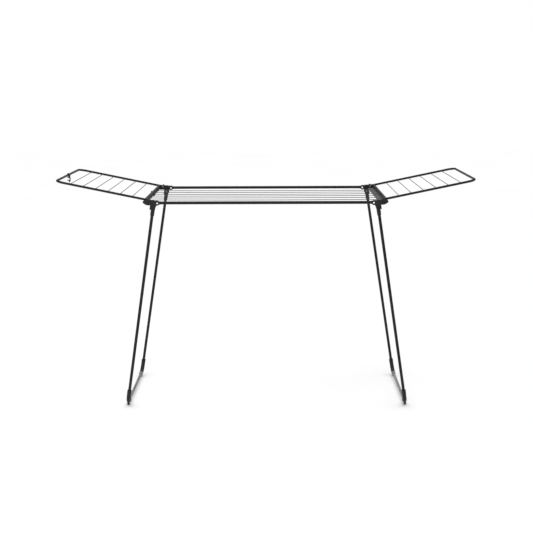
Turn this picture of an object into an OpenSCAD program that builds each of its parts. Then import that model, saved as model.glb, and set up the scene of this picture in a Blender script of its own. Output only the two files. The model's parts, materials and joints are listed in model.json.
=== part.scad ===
// Free-standing folding clothes drying rack with two swing-up wings.
// Frame: +X along the rack, +Y to the rear, +Z up. Origin on the floor under the rack's centre.
// One corner is drawn for the right front (+X, -Y); the other three are its mirror images.

/* [Overall size] */
// Length over both opened wings
overall_length = 1800; // [1760:5:1860]
// Height of the frame tubes' centre lines above the floor
frame_height = 926; // [900:1:960]
// Distance between the centre lines of the front and rear frame tubes
frame_depth = 560; // [540:5:600]
// Length over the noses of the corner brackets
bracket_span = 1045; // [1035:5:1065]

/* [Tubes and wires] */
// Outside diameter of the frame and leg tubes
frame_tube_d = 13; // [12:0.5:13]
// Outside diameter of the wing tubes and end rails
wing_tube_d = 10; // [9:0.5:10]
// Wall thickness of every steel tube
tube_wall = 0.8; // [0.6:0.1:1]
// Diameter of the drying wires
wire_d = 3; // [2.5:0.1:3]
// Number of wires on the centre frame
centre_wire_count = 6; // [4:1:7]
// Spacing of the centre wires
centre_wire_pitch = 67; // [50:1:67]
// How far the centre wires lie below the frame tubes' centre lines
centre_wire_drop = 1.5; // [1:0.1:2]
// Number of wires on each wing
wing_wire_count = 6; // [3:1:6]
// Spacing of the wing wires
wing_wire_pitch = 53.7; // [40:0.1:54]
// Distance from the wing's pivot to its first wire
wing_first_wire = 75.5; // [60:0.5:80]

/* [Corner brackets] */
// Thickness of the bracket housing across the frame tube
housing_t = 17; // [16:0.5:18]
// Distance from the centre to each hanger ring's hole
ring_x = 461; // [458:1:462]
// How far the hanger ring's centre lies below the tube's centre line
ring_drop = 1.5; // [1:0.5:2]
// Outside diameter of the hanger ring
ring_od = 19.6; // [18:0.2:21]
// Diameter of the hole for a clothes hanger's hook
ring_hole_d = 8; // [7:0.5:9]
// Thickness of the hanger ring
ring_t = 13; // [13:0.5:14]

/* [Wings] */
// Angle of an opened wing above the horizontal
wing_rise = 11.73; // [11:0.01:13]
// Distance from the centre to each wing's pivot
wing_pivot_x = 497.6; // [496:0.1:499]
// How far the wing's pivot lies above the frame tubes' centre lines
wing_pivot_lift = 9; // [8.5:0.1:9.5]
// Distance between the centre lines of a wing's front and rear tubes
wing_width = 520; // [520:1:521]
// Bend radius of the wing's outer corners, to the tube's centre line
wing_corner_r = 35; // [25:1:50]
// Distance from the pivot to the wing's inner cross tube
wing_cross_u = 16.75; // [16.5:0.05:17]

/* [Legs] */
// Distance from the centre to each leg's pivot
leg_pivot_x = 480; // [479:0.5:481]
// How far the leg's pivot lies below the frame tubes' centre lines
leg_pivot_drop = 14; // [13.5:0.1:14.5]
// Half the distance between the pivots' ends of a pair of legs
leg_y = 262; // [262:0.5:263]
// Outward lean of an opened pair of legs
leg_splay = 8.97; // [7:0.01:10]
// Inward lean of each leg within its pair
leg_taper = 1.53; // [0.5:0.01:2]
// Bend radius of the foot elbows, to the tube's centre line
foot_bend_r = 38; // [34:1:42]
// Outside diameter of the floor bar
floor_bar_d = 12; // [11:0.5:12]
// Height of the floor bar's centre line above the floor
floor_bar_height = 18; // [17:0.5:19]

/* [Hinge fits] */
// Diameter of the rivets that the wings and legs turn on
pin_d = 6; // [5:0.5:6]
// Diametral clearance of a turning part on its rivet or rail
running_gap = 0.1; // [0.04:0.02:0.2]
// Gap between a part and the stop that it rests on
stop_gap = 0.35; // [0.3:0.05:0.5]

/* [Lock clip] */
// Distance of the clip behind the rack's centre line
clip_y = 2; // [-20:1:24]
// Width of the clip along the rail
clip_w = 12; // [8:1:14]
// Distance from the rail to the centre of the clip's open jaw
clip_reach = 18; // [17.5:0.1:19]

/* [Hidden] */
$fn = 48;
EPS = 1;
half_depth = frame_depth / 2;
nose_x = bracket_span / 2;
tube_r = frame_tube_d / 2;
tube_bore_r = tube_r - tube_wall;
rail_r = wing_tube_d / 2;
rail_bore_r = rail_r - tube_wall;
pin_r = pin_d / 2;
turn_r = pin_r + running_gap / 2;

// Corner bracket
housing_in = half_depth - housing_t / 2;
housing_top = frame_height + 11;
housing_bottom = frame_height - 9.5;
nose_length = 26;
nose_rise = 13;
nose_under_r = (pow(nose_length, 2) + pow(nose_rise, 2)) / (2 * nose_rise);
nose_top_r = 8;
body_start = ring_x + 6;
body_chamfer_x = 10;
body_chamfer_z = 5;
tube_end = ring_x - ring_od / 2;
ring_z = frame_height - ring_drop;
shoulder_in = ring_x - 6;
shoulder_out = ring_x + 17;
shoulder_rise = 9.7;
shoulder_r = 4;
plug_length = 25;
end_rail_x = nose_x - 10.5;
end_rail_z = frame_height + 1;
end_rail_seat = 270;
socket_in = wing_width / 2 - 4.5;
socket_wall = 3;
pin_bore_depth = 12;
wing_boss_r = 6;
leg_boss_r = 8;
lug_r = 10;
side_gap = 0.5;
rivet_head_h = 2.8;
rivet_head_r = pin_r + 2.5;
recess_depth = 0.8;
recess_r = 4;
recess_in = nose_x - 28;
recess_out = nose_x - 13;
recess_low = frame_height - 4;
recess_high = frame_height + 5;

// Wings
wing_y = wing_width / 2;
wing_pivot_z = frame_height + wing_pivot_lift;
wing_length = (overall_length / 2 - rail_r - wing_pivot_x) / cos(wing_rise);
eye_r = 6.5;
eye_t = 11;
neck_length = 7.5;
wing_plug = 19;
saddle_wall = 2.6;
saddle_half = 7;
saddle_inner_rise = 1.5;
saddle_outer_rise = 4.5;
saddle_flare = 1;

// Legs
leg_pivot_z = frame_height - leg_pivot_drop;
knuckle_r = 12;
knuckle_t = 17;
sleeve_r = 8.8;
sleeve_lip = 2;
sleeve_lip_step = 0.7;
sleeve_length = 43.5;
sleeve_bore_start = 18;
bar_drop = (leg_pivot_z - floor_bar_height) / cos(leg_splay);
foot_x = leg_pivot_x + bar_drop * sin(leg_splay);
bend_reach = foot_bend_r * tan((90 - leg_taper) / 2);
bend_y = leg_y - bar_drop * tan(leg_taper) - bend_reach;
bend_start = bar_drop / cos(leg_taper) - bend_reach;
foot_sleeve_r = 9.9;
foot_sleeve_length = 24;
foot_shoulder = 4;
foot_tube_seat = 2;
foot_plug = 20;
elbow_r = 9.3;
bar_r = floor_bar_d / 2;
collar_r = 9.8;
collar_length = 12;
stud_r = 5.5;
stud_h = 14;
stud_edge = 1.5;
stud_out = 2.5;
stud_back = 8;
stop_tab_w = 4;
stop_tab_h = 9;
stop_web_t = 5;
stop_overlap = 2;

// Lock clip
clip_x = wing_pivot_x + wing_length * cos(wing_rise);
clip_z = wing_pivot_z + wing_length * sin(wing_rise);
clip_ring_r = 8;
clip_mouth = 52;
jaw_r = 8.5;
jaw_shift = 1;
jaw_mouth = 46;
jaw_gap = 0.2;
stem_x0 = 3;
stem_x1 = 8;
finger_tab = 15;
finger_tab_step = 0.6;

// End cover plate
plate_in = 482;
plate_w = 24.5;
plate_half = 224;
plate_t = 2.8;
plate_corner_r = 9;
plate_saddle_in = 7;
plate_saddle_w = 8;
plate_saddle_h = 4;
wire_z = frame_height - centre_wire_drop;
plate_z = wire_z + wire_d / 2;

BLACK_STEEL = [0.09, 0.09, 0.095];
BLACK_PLASTIC = [0.13, 0.13, 0.135];
WIRE_GREY = [0.2, 0.2, 0.205];
BAR_GREY = [0.55, 0.55, 0.56];
RUBBER = [0.05, 0.05, 0.05];
PLATE_GREY = [0.3, 0.3, 0.31];
RIVET_STEEL = [0.25, 0.25, 0.26];

// ---------- helpers ----------

// Mirrors a right-hand shape to the left
module to_left() {
    mirror([1, 0, 0]) children();
}

// Mirrors a front shape to the rear
module to_rear() {
    mirror([0, 1, 0]) children();
}

// The shape at the front and at the rear
module front_and_rear() {
    children();
    to_rear() children();
}

// The shape at all four corners
module four_corners() {
    front_and_rear() children();
    to_left() front_and_rear() children();
}

// Solid round bar along +Z, from z0 to z1
module bar(r, z0, z1) {
    translate([0, 0, z0]) cylinder(h = z1 - z0, r = r);
}

// Solid round bar along Y, from y0 to y1
module bar_y(r, y0, y1) {
    rotate([-90, 0, 0]) bar(r, y0, y1);
}

// Solid round bar along X, from x0 to x1
module bar_x(r, x0, x1) {
    rotate([0, 90, 0]) bar(r, x0, x1);
}

// Extrudes an outline drawn in X and Z, from y0 to y1
module slab(y0, y1) {
    translate([0, y1, 0]) rotate([90, 0, 0]) linear_extrude(y1 - y0) children();
}

// Rectangle between two corners
module box_2d(x0, y0, x1, y1) {
    translate([x0, y0]) square([x1 - x0, y1 - y0]);
}

// Rectangle with four round corners
module rounded_box_2d(x0, y0, x1, y1, r) {
    box_2d(x0 + r, y0, x1 - r, y1);
    box_2d(x0, y0 + r, x1, y1 - r);
    for (x = [x0 + r, x1 - r], y = [y0 + r, y1 - r]) {
        translate([x, y]) circle(r);
    }
}

// Height of an opened wing's centre plane at a distance from the rack's centre
function wing_z(x) = wing_pivot_z + (x - wing_pivot_x) * tan(wing_rise);

// Distance of a centre wire behind the rack's centre line
function centre_wire_y(i) = (i - (centre_wire_count - 1) / 2) * centre_wire_pitch;

// ---------- centre frame ----------

module frame_tube() {
    color(BLACK_STEEL)
    translate([0, -half_depth, frame_height])
    difference() {
        bar_x(tube_r, -tube_end, tube_end);
        bar_x(tube_bore_r, -tube_end - EPS, tube_end + EPS);
    }
}

module end_rail() {
    color(BLACK_STEEL)
    translate([end_rail_x, 0, end_rail_z])
    difference() {
        bar_y(rail_r, -end_rail_seat, end_rail_seat);
        bar_y(rail_bore_r, -end_rail_seat - EPS, end_rail_seat + EPS);
    }
}

module centre_wires() {
    color(WIRE_GREY)
    difference() {
        for (i = [0 : centre_wire_count - 1]) {
            translate([0, centre_wire_y(i), wire_z]) bar_x(wire_d / 2, -end_rail_x, end_rail_x);
        }
        for (x = [-end_rail_x, end_rail_x]) {
            translate([x, 0, end_rail_z]) bar_y(rail_r, -end_rail_seat, end_rail_seat);
        }
    }
}

// ---------- corner bracket ----------

// Bullet-shaped nose: its underside is one long arc that rises to the tip
module nose_outline() {
    nose_start = nose_x - nose_length;
    intersection() {
        translate([nose_start, housing_bottom + nose_under_r]) circle(nose_under_r);
        union() {
            box_2d(nose_start, housing_bottom, nose_x - nose_top_r, housing_top);
            box_2d(nose_start, housing_bottom, nose_x, housing_top - nose_top_r);
            translate([nose_x - nose_top_r, housing_top - nose_top_r]) circle(nose_top_r);
        }
    }
}

module housing_outline() {
    polygon([
        [body_start, housing_bottom],
        [nose_x - nose_length, housing_bottom],
        [nose_x - nose_length, housing_top],
        [body_start + body_chamfer_x, housing_top],
        [body_start, housing_top - body_chamfer_z]
    ]);
    nose_outline();
    // lugs around the two pivots
    translate([wing_pivot_x, wing_pivot_z]) circle(eye_r);
    translate([leg_pivot_x, leg_pivot_z]) circle(lug_r);
}

// Seat for the end rail, with the sloped shelf that the opened wing rests on
module rail_socket() {
    shelf_drop = (rail_r + stop_gap) / cos(wing_rise);
    x0 = end_rail_x - rail_r - socket_wall;
    slab(-housing_in - EPS, -socket_in) intersection() {
        nose_outline();
        polygon([
            [x0, housing_bottom],
            [nose_x, housing_bottom],
            [nose_x, wing_z(nose_x) - shelf_drop],
            [x0, wing_z(x0) - shelf_drop]
        ]);
    }
}

// Tab that stops the leg at its opened angle, on a web below the housing
module leg_stop() {
    tab_x = sleeve_r + stop_gap;
    tab_out = tab_x + stop_tab_w;
    tab_top = sqrt(pow(knuckle_r + stop_gap, 2) - pow(tab_x, 2));
    tab_bottom = tab_top + stop_tab_h;
    on_legs() {
        slab(-housing_in - stop_web_t, -housing_in) box_2d(0, -tab_bottom, tab_out, 0);
        slab(-housing_in - EPS, -leg_y - stop_overlap) box_2d(tab_x, -tab_bottom, tab_out, -tab_top);
    }
}

module corner_bracket() {
    color(BLACK_PLASTIC)
    difference() {
        union() {
            slab(-housing_in - housing_t, -housing_in) housing_outline();
            // hanger ring and the neck that joins it to the tube
            translate([ring_x, 0, ring_z]) {
                bar_y(ring_od / 2, -half_depth - ring_t / 2, -half_depth + ring_t / 2);
            }
            slab(-half_depth - ring_t / 2, -half_depth + ring_t / 2) rounded_box_2d(
                shoulder_in, frame_height, shoulder_out, frame_height + shoulder_rise, shoulder_r
            );
            translate([0, -half_depth, frame_height]) {
                bar_x(tube_r, tube_end, body_start + EPS);
                bar_x(tube_bore_r, tube_end - plug_length, tube_end + EPS);
            }
            rail_socket();
            leg_stop();
            // bosses that space the wing and the leg off the housing
            translate([wing_pivot_x, 0, wing_pivot_z]) {
                bar_y(wing_boss_r, -housing_in - EPS, -wing_y - eye_t / 2 - side_gap);
            }
            translate([leg_pivot_x, 0, leg_pivot_z]) {
                bar_y(leg_boss_r, -housing_in - EPS, -leg_y - knuckle_t / 2 - side_gap);
            }
        }
        translate([ring_x, 0, ring_z]) {
            bar_y(ring_hole_d / 2, -half_depth - ring_t, -half_depth + ring_t);
        }
        translate([wing_pivot_x, 0, wing_pivot_z]) {
            bar_y(pin_r, -housing_in - pin_bore_depth, -wing_y);
        }
        translate([leg_pivot_x, 0, leg_pivot_z]) {
            bar_y(pin_r, -housing_in - pin_bore_depth, -leg_y);
        }
        translate([end_rail_x, 0, end_rail_z]) {
            bar_y(rail_r, -end_rail_seat, -socket_in + EPS);
        }
        // shallow moulded recess in the outer face
        slab(-housing_in - housing_t - EPS, -housing_in - housing_t + recess_depth)
        rounded_box_2d(recess_in, recess_low, recess_out, recess_high, recess_r);
    }
}

// ---------- rivets ----------

// Rivet along Y: its head faces the rack's middle, its shank enters the bracket
module rivet(head_y) {
    rim_h = rivet_head_h / 2;
    bar_y(pin_r, -housing_in - pin_bore_depth, head_y);
    rotate([-90, 0, 0]) {
        translate([0, 0, head_y]) cylinder(h = rim_h, r = rivet_head_r);
        translate([0, 0, head_y + rim_h]) cylinder(h = rim_h, r1 = rivet_head_r, r2 = pin_r);
    }
}

module wing_hinge_rivets() {
    color(RIVET_STEEL)
    four_corners() translate([wing_pivot_x, 0, wing_pivot_z]) rivet(-wing_y + eye_t / 2 + side_gap);
}

module leg_pivot_rivets() {
    color(RIVET_STEEL)
    four_corners() translate([leg_pivot_x, 0, leg_pivot_z]) rivet(-leg_y + knuckle_t / 2 + side_gap);
}

// ---------- end pieces ----------

// Blank cover plate that snaps over the right-hand ends of the centre wires
module end_cover_plate() {
    plate_out = plate_in + plate_w;
    saddle_length = plate_w - 2 * plate_saddle_in;
    color(PLATE_GREY)
    difference() {
        union() {
            translate([0, 0, plate_z]) linear_extrude(plate_t) {
                rounded_box_2d(plate_in, -plate_half, plate_out, plate_half, plate_corner_r);
            }
            for (i = [0 : centre_wire_count - 1]) {
                y = centre_wire_y(i) - plate_saddle_w / 2;
                translate([plate_in + plate_saddle_in, y, plate_z - plate_saddle_h + EPS / 2]) {
                    cube([saddle_length, plate_saddle_w, plate_saddle_h]);
                }
            }
        }
        for (i = [0 : centre_wire_count - 1]) {
            translate([0, centre_wire_y(i), wire_z]) bar_x(wire_d / 2, plate_in - EPS, plate_out + EPS);
        }
    }
}

// Draws its children in the opened wing's plane, with the cross tube's centre at the origin
module at_cross_tube() {
    translate([wing_pivot_x, wing_pivot_z]) rotate(wing_rise) translate([wing_cross_u, 0]) children();
}

// Saddle on the left end rail that the left wing's cross tube drops into
module wing_rest_saddle() {
    notch_r = rail_r + stop_gap;
    cheek = notch_r + saddle_wall;
    color(BLACK_PLASTIC)
    to_left() slab(-saddle_half, saddle_half) difference() {
        union() {
            translate([end_rail_x, end_rail_z]) circle(rail_r + saddle_wall);
            at_cross_tube() {
                box_2d(-cheek, -cheek, cheek, saddle_inner_rise);
                box_2d(0, -cheek, cheek, saddle_outer_rise);
            }
        }
        translate([end_rail_x, end_rail_z]) circle(rail_r);
        at_cross_tube() {
            circle(notch_r);
            polygon([
                [-notch_r, 0],
                [notch_r, 0],
                [notch_r + saddle_flare, cheek],
                [-notch_r - saddle_flare, cheek]
            ]);
        }
    }
}

// ---------- wings ----------

// Places a shape drawn from the pivot along +X onto the opened right wing
module on_wing() {
    translate([wing_pivot_x, 0, wing_pivot_z]) rotate([0, -wing_rise, 0]) children();
}

// Solid path of the U-shaped wing rail, with its open ends at start
module wing_path(r, start) {
    straight = wing_length - wing_corner_r;
    side = wing_y - wing_corner_r;
    for (y = [-wing_y, wing_y]) {
        translate([0, y, 0]) bar_x(r, start, straight);
    }
    translate([wing_length, 0, 0]) bar_y(r, -side, side);
    translate([straight, -side, 0]) rotate([0, 0, -90]) rail_bend(r);
    translate([straight, side, 0]) rail_bend(r);
}

module rail_bend(r) {
    rotate_extrude(angle = 90) translate([wing_corner_r, 0]) circle(r);
}

module wing_rail() {
    color(BLACK_STEEL)
    on_wing() difference() {
        wing_path(rail_r, neck_length);
        wing_path(rail_bore_r, neck_length - EPS);
    }
}

// The two side tubes of a wing, as cutters for what is welded between them
module wing_sides() {
    for (y = [-wing_y, wing_y]) {
        translate([0, y, 0]) bar_x(rail_r, 0, wing_length);
    }
}

module wing_cross_tube() {
    color(BLACK_STEEL)
    on_wing() difference() {
        translate([wing_cross_u, 0, 0]) bar_y(rail_r, -wing_y, wing_y);
        translate([wing_cross_u, 0, 0]) bar_y(rail_bore_r, -wing_y - EPS, wing_y + EPS);
        wing_sides();
    }
}

module wing_wires() {
    color(WIRE_GREY)
    on_wing() difference() {
        for (i = [0 : wing_wire_count - 1]) {
            translate([wing_first_wire + i * wing_wire_pitch, 0, 0]) {
                bar_y(wire_d / 2, -wing_y, wing_y);
            }
        }
        wing_sides();
    }
}

// Moulded eye that plugs into the end of the wing's side tube
module wing_hinge() {
    color(BLACK_PLASTIC)
    on_wing() difference() {
        union() {
            bar_y(eye_r, -wing_y - eye_t / 2, -wing_y + eye_t / 2);
            translate([0, -wing_y, 0]) {
                bar_x(rail_r, 0, neck_length);
                bar_x(rail_bore_r, neck_length - EPS, neck_length + wing_plug);
            }
        }
        bar_y(turn_r, -wing_y - eye_t, -wing_y + eye_t);
    }
}

// ---------- lock clip ----------

// Wedge with its point at the centre, opening towards -X
module mouth_2d(half_angle, r) {
    polygon([[0, 0], [-r, r * tan(half_angle)], [-r, -r * tan(half_angle)]]);
}

// Ring snapped on the rail, a stem on its inner side, an open jaw and a finger tab below
module clip_outline() {
    difference() {
        union() {
            circle(clip_ring_r);
            translate([jaw_shift, -clip_reach]) circle(jaw_r);
            box_2d(stem_x0, -clip_reach, stem_x1, -stem_x0);
            box_2d(stem_x0 + finger_tab_step, -clip_reach - finger_tab, stem_x1, -clip_reach);
        }
        circle(rail_r + running_gap / 2);
        mouth_2d(clip_mouth, clip_ring_r + EPS);
        translate([jaw_shift, -clip_reach]) {
            circle(rail_r + jaw_gap);
            mouth_2d(jaw_mouth, jaw_r + EPS);
        }
    }
}

module lock_clip() {
    color(BLACK_PLASTIC)
    translate([-clip_x, clip_y, clip_z]) slab(-clip_w / 2, clip_w / 2) clip_outline();
}

// ---------- legs ----------

// Places a shape drawn from the pivot axis onto the opened right pair of legs
module on_legs() {
    translate([leg_pivot_x, 0, leg_pivot_z]) rotate([0, -leg_splay, 0]) children();
}

// Turns +Z down along the front leg's centre line
module along_leg() {
    translate([0, -leg_y, 0]) rotate([180 + leg_taper, 0, 0]) children();
}

module leg_tube() {
    color(BLACK_STEEL)
    on_legs() along_leg() difference() {
        bar(tube_r, sleeve_bore_start, bend_start - foot_tube_seat);
        bar(tube_bore_r, sleeve_bore_start - EPS, bend_start);
    }
}

module leg_knuckle() {
    color(BLACK_PLASTIC)
    on_legs() difference() {
        union() {
            bar_y(knuckle_r, -leg_y - knuckle_t / 2, -leg_y + knuckle_t / 2);
            along_leg() {
                bar(sleeve_r, 0, sleeve_length - sleeve_lip);
                translate([0, 0, sleeve_length - sleeve_lip]) {
                    cylinder(h = sleeve_lip, r1 = sleeve_r, r2 = sleeve_r - sleeve_lip_step);
                }
            }
        }
        along_leg() bar(tube_r, sleeve_bore_start, sleeve_length + EPS);
        bar_y(turn_r, -leg_y - knuckle_t, -leg_y + knuckle_t);
    }
}

// Bent part of the foot, around the corner from the leg to the floor bar
module foot_bend() {
    translate([0, -bend_y, foot_bend_r - bar_drop])
    rotate([90, 0, 90])
    rotate([0, 0, 180 + leg_taper])
    rotate_extrude(angle = 90 - leg_taper)
    translate([foot_bend_r, 0]) circle(elbow_r);
}

module leg_foot() {
    color(BLACK_PLASTIC)
    on_legs() {
        foot_bend();
        along_leg() difference() {
            union() {
                bar(foot_sleeve_r, bend_start - foot_sleeve_length, bend_start - foot_shoulder);
                translate([0, 0, bend_start - foot_shoulder]) {
                    cylinder(h = foot_shoulder, r1 = foot_sleeve_r, r2 = elbow_r);
                }
                bar(tube_r, bend_start - foot_tube_seat, bend_start + EPS);
            }
            bar(tube_r, bend_start - foot_sleeve_length - EPS, bend_start - foot_tube_seat);
        }
        // plug inside the floor bar
        translate([0, 0, -bar_drop]) bar_y(bar_r - tube_wall, -bend_y - EPS, -bend_y + foot_plug);
    }
}

module floor_bar() {
    color(BAR_GREY)
    on_legs() translate([0, 0, -bar_drop]) difference() {
        bar_y(bar_r, -bend_y, bend_y);
        bar_y(bar_r - tube_wall, -bend_y - EPS, bend_y + EPS);
    }
}

module bar_collars() {
    color(BAR_GREY)
    front_and_rear() on_legs() translate([0, 0, -bar_drop]) difference() {
        bar_y(collar_r, -bend_y, -bend_y + collar_length);
        bar_y(bar_r, -bend_y - EPS, -bend_y + collar_length + EPS);
    }
}

// Round rubber stud under each foot, with a chamfered edge and a flat end on the floor
module foot_pads() {
    color(RUBBER)
    front_and_rear() difference() {
        translate([foot_x + stud_out, -bend_y - stud_back, 0]) {
            cylinder(h = stud_edge, r1 = stud_r - stud_edge / 2, r2 = stud_r);
            bar(stud_r, stud_edge, stud_h);
        }
        on_legs() foot_bend();
    }
}

// ---------- nodes ----------

frame_tube();  // front_tube
to_rear() frame_tube();  // rear_tube
to_left() end_rail();  // left_end_rail
end_rail();  // right_end_rail
centre_wires();
to_left() corner_bracket();  // front_left_bracket
corner_bracket();  // front_right_bracket
to_left() to_rear() corner_bracket();  // rear_left_bracket
to_rear() corner_bracket();  // rear_right_bracket
end_cover_plate();
wing_rest_saddle();
wing_hinge_rivets();
leg_pivot_rivets();

to_left() wing_rail();  // left_wing_rail
to_left() wing_cross_tube();  // left_wing_cross_tube
to_left() wing_wires();  // left_wing_wires
to_left() wing_hinge();  // left_wing_front_hinge
to_left() to_rear() wing_hinge();  // left_wing_rear_hinge
wing_rail();  // right_wing_rail
wing_cross_tube();  // right_wing_cross_tube
wing_wires();  // right_wing_wires
wing_hinge();  // right_wing_front_hinge
to_rear() wing_hinge();  // right_wing_rear_hinge
lock_clip();

to_left() leg_tube();  // left_front_leg
to_left() to_rear() leg_tube();  // left_rear_leg
to_left() leg_knuckle();  // left_front_knuckle
to_left() to_rear() leg_knuckle();  // left_rear_knuckle
to_left() leg_foot();  // left_front_foot
to_left() to_rear() leg_foot();  // left_rear_foot
to_left() floor_bar();  // left_floor_bar
to_left() bar_collars();  // left_bar_collars
to_left() foot_pads();  // left_foot_pads

leg_tube();  // right_front_leg
to_rear() leg_tube();  // right_rear_leg
leg_knuckle();  // right_front_knuckle
to_rear() leg_knuckle();  // right_rear_knuckle
leg_foot();  // right_front_foot
to_rear() leg_foot();  // right_rear_foot
floor_bar();  // right_floor_bar
bar_collars();  // right_bar_collars
foot_pads();  // right_foot_pads
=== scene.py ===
import json
import math

import bmesh
import bpy
from mathutils import Matrix, Vector


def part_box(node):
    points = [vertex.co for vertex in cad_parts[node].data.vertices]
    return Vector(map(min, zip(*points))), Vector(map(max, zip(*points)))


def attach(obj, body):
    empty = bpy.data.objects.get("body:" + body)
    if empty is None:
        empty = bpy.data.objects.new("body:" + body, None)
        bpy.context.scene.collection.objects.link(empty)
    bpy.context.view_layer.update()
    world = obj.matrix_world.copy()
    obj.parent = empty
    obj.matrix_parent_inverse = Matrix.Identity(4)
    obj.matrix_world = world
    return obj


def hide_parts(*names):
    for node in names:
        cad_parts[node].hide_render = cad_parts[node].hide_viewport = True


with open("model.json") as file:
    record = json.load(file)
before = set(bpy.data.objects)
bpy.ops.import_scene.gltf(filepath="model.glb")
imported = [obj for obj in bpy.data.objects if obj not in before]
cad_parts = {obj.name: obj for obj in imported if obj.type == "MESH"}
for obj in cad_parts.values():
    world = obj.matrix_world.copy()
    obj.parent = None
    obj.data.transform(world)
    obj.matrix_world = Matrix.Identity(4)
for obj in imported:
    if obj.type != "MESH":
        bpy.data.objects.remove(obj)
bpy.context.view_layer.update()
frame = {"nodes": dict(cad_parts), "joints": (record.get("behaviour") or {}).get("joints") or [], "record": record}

MM = 0.001
TAU = 2 * math.pi

# Rims that turn by more than RIM_ANGLE get rounded, and edges past SHARP_ANGLE are shaded as creases
RIM_ANGLE = math.radians(50)
SHARP_ANGLE = math.radians(40)

# Shapes are drawn at the right front. Each pair names a place, and says if the shape is mirrored there
SIDES = (("left", True), ("right", False))
ENDS = (("front", False), ("rear", True))


# ---------- places, read from the frame ----------

def joint_pos(name):
    """The pivot point of a joint."""
    return Vector(next(j["pos_m"] for j in frame["joints"] if j["name"] == name))


def mount_pos(name):
    """The position of a mount."""
    return Vector(next(m["pos_m"] for m in frame["record"]["mounts"] if m["name"] == name))


def centre_of(node):
    """The middle of a CAD node's box."""
    low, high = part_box(node)
    return (Vector(low) + Vector(high)) / 2


def size_of(node):
    """The three sides of a CAD node's box."""
    low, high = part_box(node)
    return Vector(high) - Vector(low)


WING_PIVOT = joint_pos("right_wing_hinge")
LEG_PIVOT = joint_pos("right_leg_hinge")
CLIP_PIVOT = joint_pos("lock_clip_swing")
RING = mount_pos("front_right_hanger_hole")
TUBE = centre_of("front_tube")
TUBE_R = size_of("front_tube").z / 2
TUBE_END = size_of("front_tube").x / 2
END_RAIL = centre_of("right_end_rail")
RAIL_R = size_of("right_end_rail").z / 2
BRACKET_LOW, BRACKET_HIGH = (Vector(p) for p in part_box("front_right_bracket"))
WIRE_Z = centre_of("centre_wires").z
WIRE_R = size_of("centre_wires").z / 2
WIRE_SPAN = size_of("centre_wires").y - 2 * WIRE_R
WING_Y = size_of("right_wing_rail").y / 2 - RAIL_R
WING_HIGH = Vector(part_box("right_wing_rail")[1])
EYE_LOW, EYE_HIGH = (Vector(p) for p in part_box("right_wing_front_hinge"))
WING_RISE = math.atan2(WING_HIGH.z - RAIL_R - WING_PIVOT.z, WING_HIGH.x - RAIL_R - WING_PIVOT.x)
BAR = centre_of("right_floor_bar")
BAR_R = size_of("right_floor_bar").x / 2
BAR_HALF = size_of("right_floor_bar").y / 2
LEG_SPLAY = math.atan2(BAR.x - LEG_PIVOT.x, LEG_PIVOT.z - BAR.z)
LEG_DROP = (LEG_PIVOT - Vector((BAR.x, 0, BAR.z))).length

# Sizes that no box or joint gives, so they repeat the CAD model's own
WIRE_COUNT = 6
RIVET_R = 3 * MM
RIVET_BORE_R = 3.05 * MM
SIDE_GAP = 0.5 * MM
KNUCKLE_Y = 262 * MM
KNUCKLE_R = 12 * MM
KNUCKLE_HALF = 8.5 * MM
SLEEVE_R = 8.8 * MM
LEG_TAPER = math.radians(1.53)
FOOT_BEND_R = 38 * MM
ELBOW_R = 9.3 * MM

# The frames of the right wing and legs at their pivots, and one with Z down the right front leg
RIGHT_WING = Matrix.Translation(WING_PIVOT) @ Matrix.Rotation(-WING_RISE, 4, "Y")
RIGHT_LEGS = Matrix.Translation(LEG_PIVOT) @ Matrix.Rotation(-LEG_SPLAY, 4, "Y")
DOWN_FRONT_LEG = (
    RIGHT_LEGS
    @ Matrix.Translation((0, -KNUCKLE_Y, 0))
    @ Matrix.Rotation(math.pi + LEG_TAPER, 4, "X")
)
# Quarter turns that lay local Z along X or Y
ALONG_X = Matrix.Rotation(math.pi / 2, 4, "Y")
ALONG_Y = Matrix.Rotation(-math.pi / 2, 4, "X")


# ---------- mesh helpers ----------

def arc(cx, cz, r, a0, a1, steps):
    """Points on a circle from angle a0 to a1, in degrees."""
    angles = [math.radians(a0 + (a1 - a0) * i / steps) for i in range(steps + 1)]
    return [(cx + r * math.cos(a), cz + r * math.sin(a)) for a in angles]


def lathe(bm, profile, place, steps=40, closed=False):
    """Turns a profile of (radius, height) points around local Z, then places it."""
    turn = [TAU * i / steps for i in range(steps)]
    rings = []
    for r, h in profile:
        circle = [(r * math.cos(a), r * math.sin(a), h) for a in turn] if r > 0 else [(0, 0, h)]
        rings.append([bm.verts.new(place @ Vector(p)) for p in circle])
    pairs = list(zip(rings, rings[1:]))
    if closed:
        pairs.append((rings[-1], rings[0]))
    for a, b in pairs:
        for i in range(steps):
            j = (i + 1) % steps
            corners = [a[i % len(a)], a[j % len(a)], b[j % len(b)], b[i % len(b)]]
            unique = list(dict.fromkeys(corners))
            if len(unique) > 2:
                bm.faces.new(unique)


def rounded_side(r, h0, h1, round_r, steps):
    """The outer side of a round bar from h0 to h1, with a quarter circle at each rim."""
    turn = [math.pi / 2 * i / steps for i in range(steps + 1)]
    low = [(r - round_r + round_r * math.sin(t), h0 + round_r - round_r * math.cos(t)) for t in turn]
    return low + [(x, h1 + h0 - z) for x, z in reversed(low)]


def rounded_profile(r, h0, h1, round_r, steps=5):
    """The half outline of a round bar from h0 to h1 with rounded rims."""
    return [(0, h0)] + rounded_side(r, h0, h1, round_r, steps) + [(0, h1)]


def collar_profile(r_in, r_out, h0, h1, round_r, steps=4):
    """A closed ring section with rounded outer rims and eased inner rims."""
    ease = min(round_r, (r_out - r_in) / 3)
    inner = [(r_in + ease, h1), (r_in, h1 - ease), (r_in, h0 + ease), (r_in + ease, h0)]
    return rounded_side(r_out, h0, h1, round_r, steps) + inner


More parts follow.
